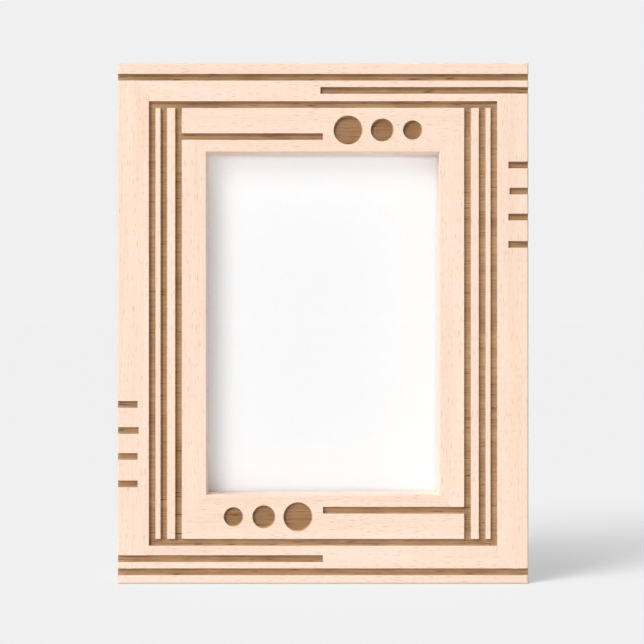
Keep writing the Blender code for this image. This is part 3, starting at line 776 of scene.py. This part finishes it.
@dataclass
class RoundHeads:
    """One kind of round-headed fastener, set out at its seats by Geometry Nodes."""

    name: str
    body: str
    slot: str
    finish: Finish
    replaced: tuple[str, ...]
    head_radius: float
    head_height: float
    shank_radius: float
    shank_length: float
    cross_recess: bool = False
    recess_width: float = 0.75 * MM
    recess_depth: float = 1.1 * MM
    recess_reach: float = 1.15  # how long the cross is, in head radii
    dome: float = 0.65  # the share of the head's height that is domed: the rest is its straight rim
    rings: int = 7
    sides: int = 32
    shank_sides: int = 16
    crease: float = math.radians(38)  # sharper edges stay crisp
    seed: int = 11  # of the random turns that the heads stop at

    def inputs(self) -> dict[str, tuple[str, object]]:
        """Lists the tree's inputs.

        Returns:
            For each input, the kind of its socket and its value.
        """
        return {
            "Head Radius": ("Float", self.head_radius),
            "Head Height": ("Float", self.head_height),
            "Shank Radius": ("Float", self.shank_radius),
            "Shank Length": ("Float", self.shank_length),
            "Recess Width": ("Float", self.recess_width),
            "Recess Depth": ("Float", self.recess_depth),
            "Cross Recess": ("Bool", self.cross_recess),
            "Finish": ("Material", self.finish.material()),
        }

    def tree(self) -> NodeTree:
        """Builds the tree: a head with or without a cross recess, and a shank, at every point.

        Returns:
            The tree, with its sizes as named inputs.
        """
        tree = bpy.data.node_groups.new(f"{self.name}_layout", "GeometryNodeTree")
        tree.interface.new_socket("Geometry", in_out="INPUT", socket_type="NodeSocketGeometry")
        for label, (kind, _) in self.inputs().items():
            tree.interface.new_socket(label, in_out="INPUT", socket_type=f"NodeSocket{kind}")
        tree.interface.new_socket("Geometry", in_out="OUTPUT", socket_type="NodeSocketGeometry")
        given = add_node(tree, "NodeGroupInput").outputs
        fastener = add_node(tree, "GeometryNodeJoinGeometry")
        tree.links.new(self.crossed(tree, given, self.domed_head(tree, given)), fastener.inputs[0])
        tree.links.new(self.shank(tree, given), fastener.inputs[0])
        # Inputs 2 and 3 and output 1 are a single number's. Heads are then turned to face +Y, the back.
        limits = {2: 0.0, 3: math.pi, "Seed": self.seed}
        spin = add_node(tree, "FunctionNodeRandomValue", limits).outputs[1]
        angles = add_node(tree, "ShaderNodeCombineXYZ", {"X": -math.pi / 2, "Y": spin}).outputs[0]
        turn = add_node(tree, "FunctionNodeEulerToRotation", {0: angles}).outputs[0]
        seats = {"Points": given["Geometry"], "Instance": fastener.outputs[0], "Rotation": turn}
        placed = add_node(tree, "GeometryNodeInstanceOnPoints", seats).outputs[0]
        solid = add_node(tree, "GeometryNodeRealizeInstances", {"Geometry": placed}).outputs[0]
        dressed = {"Geometry": solid, "Material": given["Finish"]}
        plated = add_node(tree, "GeometryNodeSetMaterial", dressed).outputs[0]
        add_node(tree, "NodeGroupOutput", {0: plated})
        return tree

    def domed_head(self, tree: NodeTree, given: bpy_prop_collection) -> Socket:
        """The head above its seat: a short cylinder with its top drawn up into a dome.

        Args:
            tree: The tree to add to.
            given: The tree's inputs.

        Returns:
            The head's geometry.
        """
        radius, height = given["Head Radius"], given["Head Height"]
        sizes = {"Vertices": self.sides, "Fill Segments": self.rings, "Radius": radius, "Depth": height}
        blank = add_node(tree, "GeometryNodeMeshCylinder", sizes).outputs["Mesh"]
        place = add_node(tree, "GeometryNodeInputPosition").outputs[0]
        levelled = {0: place, 1: (1, 1, 0)}
        flat = add_node(tree, "ShaderNodeVectorMath", levelled, operation="MULTIPLY").outputs[0]
        reach = add_node(tree, "ShaderNodeVectorMath", {0: flat}, operation="LENGTH").outputs["Value"]
        share = add_node(tree, "ShaderNodeMath", {0: reach, 1: radius}, operation="DIVIDE").outputs[0]
        quarter = {0: share, 1: math.pi / 2}
        angle = add_node(tree, "ShaderNodeMath", quarter, operation="MULTIPLY").outputs[0]
        sine = add_node(tree, "ShaderNodeMath", {0: angle}, operation="SINE").outputs[0]
        cosine = add_node(tree, "ShaderNodeMath", {0: angle}, operation="COSINE").outputs[0]
        widen = add_node(tree, "ShaderNodeMath", {0: sine, 1: share}, operation="DIVIDE").outputs[0]
        widened = {0: flat, "Scale": widen}
        ring = add_node(tree, "ShaderNodeVectorMath", widened, operation="SCALE").outputs[0]
        arched = {0: cosine, 1: self.dome, 2: 1 - self.dome}
        arch = add_node(tree, "ShaderNodeMath", arched, operation="MULTIPLY_ADD").outputs[0]
        rise = add_node(tree, "ShaderNodeMath", {0: arch, 1: height}, operation="MULTIPLY").outputs[0]
        lift = add_node(tree, "ShaderNodeCombineXYZ", {"Z": rise}).outputs[0]
        domed = add_node(tree, "ShaderNodeVectorMath", {0: ring, 1: lift}).outputs[0]
        above = {0: add_node(tree, "ShaderNodeSeparateXYZ", {0: place}).outputs[2], 1: 0.0}
        is_top = add_node(tree, "FunctionNodeCompare", above, operation="GREATER_THAN").outputs[0]
        choice = {"Switch": is_top, "False": flat, "True": domed}
        moved = add_node(tree, "GeometryNodeSwitch", choice, input_type="VECTOR").outputs[0]
        shaped = {"Geometry": blank, "Position": moved}
        return add_node(tree, "GeometryNodeSetPosition", shaped).outputs[0]

    def crossed(self, tree: NodeTree, given: bpy_prop_collection, head: Socket) -> Socket:
        """Cuts the cross recess into a head, where the fastener has one.

        Args:
            tree: The tree to add to.
            given: The tree's inputs.
            head: The plain head's geometry.

        Returns:
            The head's geometry, with or without the cross.
        """
        width = given["Recess Width"]
        reached = {0: given["Head Radius"], 1: self.recess_reach}
        length = add_node(tree, "ShaderNodeMath", reached, operation="MULTIPLY").outputs[0]
        doubled = {0: given["Recess Depth"], 1: 2.0}
        depth = add_node(tree, "ShaderNodeMath", doubled, operation="MULTIPLY").outputs[0]
        top = add_node(tree, "ShaderNodeCombineXYZ", {"Z": given["Head Height"]}).outputs[0]
        cut = add_node(tree, "GeometryNodeMeshBoolean", {"Mesh 1": head}, operation="DIFFERENCE")
        for across, along in ((length, width), (width, length)):
            sides = {"X": across, "Y": along, "Z": depth}
            size = add_node(tree, "ShaderNodeCombineXYZ", sides).outputs[0]
            bar = add_node(tree, "GeometryNodeMeshCube", {"Size": size}).outputs["Mesh"]
            raised = add_node(tree, "GeometryNodeTransform", {"Geometry": bar, "Translation": top})
            tree.links.new(raised.outputs[0], cut.inputs["Mesh 2"])
        kind = {"Switch": given["Cross Recess"], "False": head, "True": cut.outputs["Mesh"]}
        return add_node(tree, "GeometryNodeSwitch", kind, input_type="GEOMETRY").outputs[0]

    def shank(self, tree: NodeTree, given: bpy_prop_collection) -> Socket:
        """The shank below the head's seat.

        Args:
            tree: The tree to add to.
            given: The tree's inputs.

        Returns:
            The shank's geometry.
        """
        radius, length = given["Shank Radius"], given["Shank Length"]
        sizes = {"Vertices": self.shank_sides, "Radius": radius, "Depth": length}
        pin = add_node(tree, "GeometryNodeMeshCylinder", sizes).outputs["Mesh"]
        halved = {0: length, 1: -0.5}
        down = add_node(tree, "ShaderNodeMath", halved, operation="MULTIPLY").outputs[0]
        drop = add_node(tree, "ShaderNodeCombineXYZ", {"Z": down}).outputs[0]
        lowered = {"Geometry": pin, "Translation": drop}
        return add_node(tree, "GeometryNodeTransform", lowered).outputs[0]

    def seats(self) -> list[Vector]:
        """Where each fastener's head sits: on its solid's axis, one head's height below its top.

        Returns:
            One point for each replaced solid.
        """
        points = []
        for node in self.replaced:
            low, high = (Vector(corner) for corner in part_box(node))
            across, up = (low.x + high.x) / 2, (low.z + high.z) / 2
            points.append(Vector((across, high.y - self.head_height, up)))
        return points

    def build(self) -> None:
        """Runs the tree on the seats and hands over the plain mesh."""
        mesh = bpy.data.meshes.new(self.name)
        mesh.from_pydata(self.seats(), [], [])
        piece = bpy.data.objects.new(self.name, mesh)
        bpy.context.scene.collection.objects.link(piece)
        layout = piece.modifiers.new("layout", "NODES")
        layout.node_group = self.tree()
        inputs = self.inputs()
        for socket in layout.node_group.interface.items_tree:
            if socket.in_out == "INPUT" and socket.name in inputs:
                layout[socket.identifier] = inputs[socket.name][1]
        settle(piece)
        piece.data.shade_smooth()
        piece.data.set_sharp_from_angle(angle=self.crease)
        hand_over(piece, self.body, self.slot, *self.replaced)


def fasteners() -> list[RoundHeads]:
    """Lists the screws, rivets and nails, each kind with its sizes.

    Returns:
        The kinds, ready to build.
    """
    screws = RoundHeads(
        "button_screws", "frame", "nickel", NICKEL,
        tuple(f"button_screw_{number}" for number in range(1, 5)),
        head_radius=3.1 * MM, head_height=1.9 * MM,
        shank_radius=1.4 * MM, shank_length=10.8 * MM,
        cross_recess=True,
    )
    nails = RoundHeads(
        "hanger_nails", "frame", "nickel", NICKEL,
        tuple(f"hanger_{way}_nail_{number}" for way in ("upright", "sideways") for number in (1, 2)),
        head_radius=1.7 * MM, head_height=0.7 * MM,
        shank_radius=0.7 * MM, shank_length=9.8 * MM,
    )
    hinge = {"board_rivets": ("frame", (1, 2)), "strut_rivets": ("easel", (3, 4))}
    rivets = [
        RoundHeads(
            name, body, "zinc", ZINC,
            tuple(f"hinge_rivet_{number}" for number in numbers),
            head_radius=2.6 * MM, head_height=1.0 * MM,
            shank_radius=1.2 * MM, shank_length=3.8 * MM,
        )
        for name, (body, numbers) in hinge.items()
    ]
    return [screws, nails, *rivets]


class Reach(Enum):
    """What a lamp may light: the floor, the white card, or all the rest of the frame."""

    FLOOR = "floor"
    CARD = "card"
    FRAME = "frame"


@dataclass(frozen=True)
class Lamp:
    """A distant soft lamp."""

    name: str
    reach: Reach
    strength: float  # watts for each square metre
    size: float  # how wide it looks from the frame, in degrees
    turn: float  # how far left of straight in front it stands, in degrees
    rise: float  # how high it stands, in degrees
    mirrored: bool = True  # whether glass and metal show it
    shadows: bool = True  # whether anything shades what it lights

    def build(self, apart: dict[Reach, Object]) -> None:
        """Adds the lamp, shining at the frame.

        Args:
            apart: What is lit apart from the rest of the frame.
        """
        light = bpy.data.lights.new(self.name, "SUN")
        light.energy = self.strength
        light.angle = math.radians(self.size)
        light.use_shadow = self.shadows
        lamp = bpy.data.objects.new(self.name, light)
        turn, rise = math.radians(self.turn), math.radians(self.rise)
        level = math.cos(rise)
        towards = Vector((-level * math.sin(turn), -level * math.cos(turn), math.sin(rise)))
        lamp.rotation_euler = towards.to_track_quat("Z", "Y").to_euler()
        lamp.location = towards
        lamp.visible_glossy = self.mirrored
        lamp.visible_transmission = self.mirrored
        bpy.context.scene.collection.objects.link(lamp)
        linking = lamp.light_linking
        if self.reach is Reach.FRAME:
            linking.receiver_collection = self.linked("receivers", list(apart.values()), "EXCLUDE")
        else:
            linking.receiver_collection = self.linked("receivers", [apart[self.reach]], "INCLUDE")
        if self.rise < 0:
            linking.blocker_collection = self.linked("passes_through", [apart[Reach.FLOOR]], "EXCLUDE")

    def linked(self, purpose: str, things: list[Object], state: str) -> Collection:
        """Lists what the lamp treats apart.

        Args:
            purpose: What the list is for, which names it.
            things: The objects on it.
            state: "INCLUDE" for a list of all that counts, "EXCLUDE" for one of what doesn't.

        Returns:
            The list, as a collection outside the scene.
        """
        group = bpy.data.collections.new(f"{self.name}_{purpose}")
        for number, thing in enumerate(things):
            group.objects.link(thing)
            group.collection_objects[number].light_linking.link_state = state
        return group


@dataclass
class Studio:
    """The pale floor, the soft light and the camera square in front of the frame."""

    card: Object
    floor_size: float = 80.0
    floor_colour: str = "#6A6A6A"
    floor_glow: float = 0.518  # how much the eye's floor is lifted towards the backdrop
    floor_bounce: str = "#787878"  # what the floor throws back at the frame
    floor_lean: float = math.radians(25)  # how far the floor's shading leans towards the camera
    backdrop: str = "#F0F0F0"
    sky: float = 0.04  # strength of the even light from all round
    lamps: tuple[Lamp, ...] = (
        Lamp("window_light", Reach.FRAME, strength=2.04, size=28, turn=27, rise=25),
        Lamp("high_light", Reach.FRAME, strength=1.2, size=30, turn=62, rise=45),
        Lamp("fill_light", Reach.FRAME, strength=0.6, size=100, turn=0, rise=-25, mirrored=False),
        *(
            Lamp(f"card_strip_light_{turn}", Reach.CARD, strength=0.225, size=8, turn=turn, rise=1)
            for turn in (14, 20, 26, 33, 40)
        ),
        Lamp("card_high_light", Reach.CARD, strength=1.12, size=34, turn=24, rise=30),
        Lamp("card_low_light", Reach.CARD, strength=0.58, size=44, turn=-36, rise=-22, mirrored=False),
        Lamp(
            "card_front_light", Reach.CARD, strength=0.54, size=5, turn=0, rise=0,
            mirrored=False, shadows=False,
        ),
        Lamp("back_light", Reach.FRAME, strength=2.5, size=120, turn=200, rise=16),
        Lamp("low_floor_light", Reach.FLOOR, strength=5.41, size=24, turn=52, rise=41),
        Lamp("high_floor_light", Reach.FLOOR, strength=3.49, size=24, turn=50, rise=66),
    )
    distance: float = 610 * MM  # from the frame's front to the camera
    view_width: float = 298.2 * MM  # what the picture spans at the frame's front
    aim: tuple[float, float] = (-0.46 * MM, 121.3 * MM)  # the picture's middle, along X and Z
    sensor: float = 36.0  # millimetres
    nearest: float = 10 * MM  # the least distance that the camera shows

    def build(self) -> None:
        """Sets up the floor, the world, the lamps and the camera."""
        apart = {Reach.FLOOR: self.lay_floor(), Reach.CARD: self.card}
        self.surround()
        for lamp in self.lamps:
            lamp.build(apart)
        self.camera()

    @staticmethod
    def seen_directly(tree: NodeTree) -> Socket:
        """Tells what the eye sees, also in metal or through glass, from what only lights the frame.

        Args:
            tree: The tree to add to.

        Returns:
            1 for such a ray, and 0 for any other.
        """
        path = add_node(tree, "ShaderNodeLightPath").outputs
        seen = path["Is Camera Ray"]
        for ray in ("Is Glossy Ray", "Is Transmission Ray"):
            either = {0: seen, 1: path[ray]}
            seen = add_node(tree, "ShaderNodeMath", either, operation="MAXIMUM").outputs[0]
        return seen

    def lay_floor(self) -> Object:
        """A wide matt floor that merges with the backdrop and keeps the frame's shadow.

        Returns:
            The floor.
        """
        shape = bmesh.new()
        bmesh.ops.create_grid(shape, x_segments=1, y_segments=1, size=self.floor_size / 2)
        mesh = bpy.data.meshes.new("studio_floor")
        shape.to_mesh(mesh)
        shape.free()
        mesh.materials.append(self.matt_floor())
        floor = bpy.data.objects.new("studio_floor", mesh)
        bpy.context.scene.collection.objects.link(floor)
        return floor

    def matt_floor(self) -> Material:
        """Matt paper that the eye sees lifted to the backdrop, and that throws plain light back.

        Returns:
            The floor's material.
        """
        matt = bpy.data.materials.new("matt_studio_floor")
        matt.use_nodes = True
        tree = matt.node_tree
        leaning = {"Y": -math.sin(self.floor_lean), "Z": math.cos(self.floor_lean)}
        lean = add_node(tree, "ShaderNodeCombineXYZ", leaning).outputs[0]
        shaded = {"Color": linear(self.floor_colour), "Normal": lean}
        paper = add_node(tree, "ShaderNodeBsdfDiffuse", shaded).outputs[0]
        glow = add_node(tree, "ShaderNodeEmission", {"Strength": self.floor_glow}).outputs[0]
        lifted = add_node(tree, "ShaderNodeAddShader", {0: paper, 1: glow}).outputs[0]
        thrown = {"Color": linear(self.floor_bounce)}
        bounce = add_node(tree, "ShaderNodeBsdfDiffuse", thrown).outputs[0]
        either = {0: self.seen_directly(tree), 1: bounce, 2: lifted}
        mix = add_node(tree, "ShaderNodeMixShader", either).outputs[0]
        tree.links.new(mix, tree.nodes["Material Output"].inputs["Surface"])
        return matt

    def surround(self) -> None:
        """An even sky, which the eye, metal and glass see as the backdrop."""
        world = bpy.data.worlds.new("studio")
        world.use_nodes = True
        tree = world.node_tree
        sky = tree.nodes["Background"]
        sky.inputs["Color"].default_value = (1, 1, 1, 1)
        sky.inputs["Strength"].default_value = self.sky
        seen = add_node(tree, "ShaderNodeBackground", {"Color": linear(self.backdrop)}).outputs[0]
        either = {0: self.seen_directly(tree), 1: sky.outputs[0], 2: seen}
        mix = add_node(tree, "ShaderNodeMixShader", either).outputs[0]
        tree.links.new(mix, tree.nodes["World Output"].inputs["Surface"])
        bpy.context.scene.world = world

    def camera(self) -> None:
        """A level camera square to the front, at the photograph's framing."""
        lens = bpy.data.cameras.new("front_camera")
        lens.sensor_width = self.sensor
        lens.lens = self.sensor * self.distance / self.view_width
        lens.clip_start = self.nearest
        lens.clip_end = 2 * self.floor_size
        camera = bpy.data.objects.new("front_camera", lens)
        camera.location = (self.aim[0], FRONT - self.distance, self.aim[1])
        camera.rotation_euler = (math.pi / 2, 0, 0)
        bpy.context.scene.collection.objects.link(camera)
        bpy.context.scene.camera = camera


def main() -> None:
    """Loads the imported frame, dresses it piece by piece and sets up the studio."""
    logging.basicConfig(level=logging.INFO, format="%(message)s")
    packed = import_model()
    bpy.context.scene.view_settings.view_transform = "Standard"
    nodes = packed["nodes"]
    Mouldings(nodes).build()
    Boards(nodes).build()
    PressedFittings(nodes).build()
    for kind in fasteners():
        kind.build()
    Studio(nodes["print"]).build()


if __name__ == "__main__":
    main()
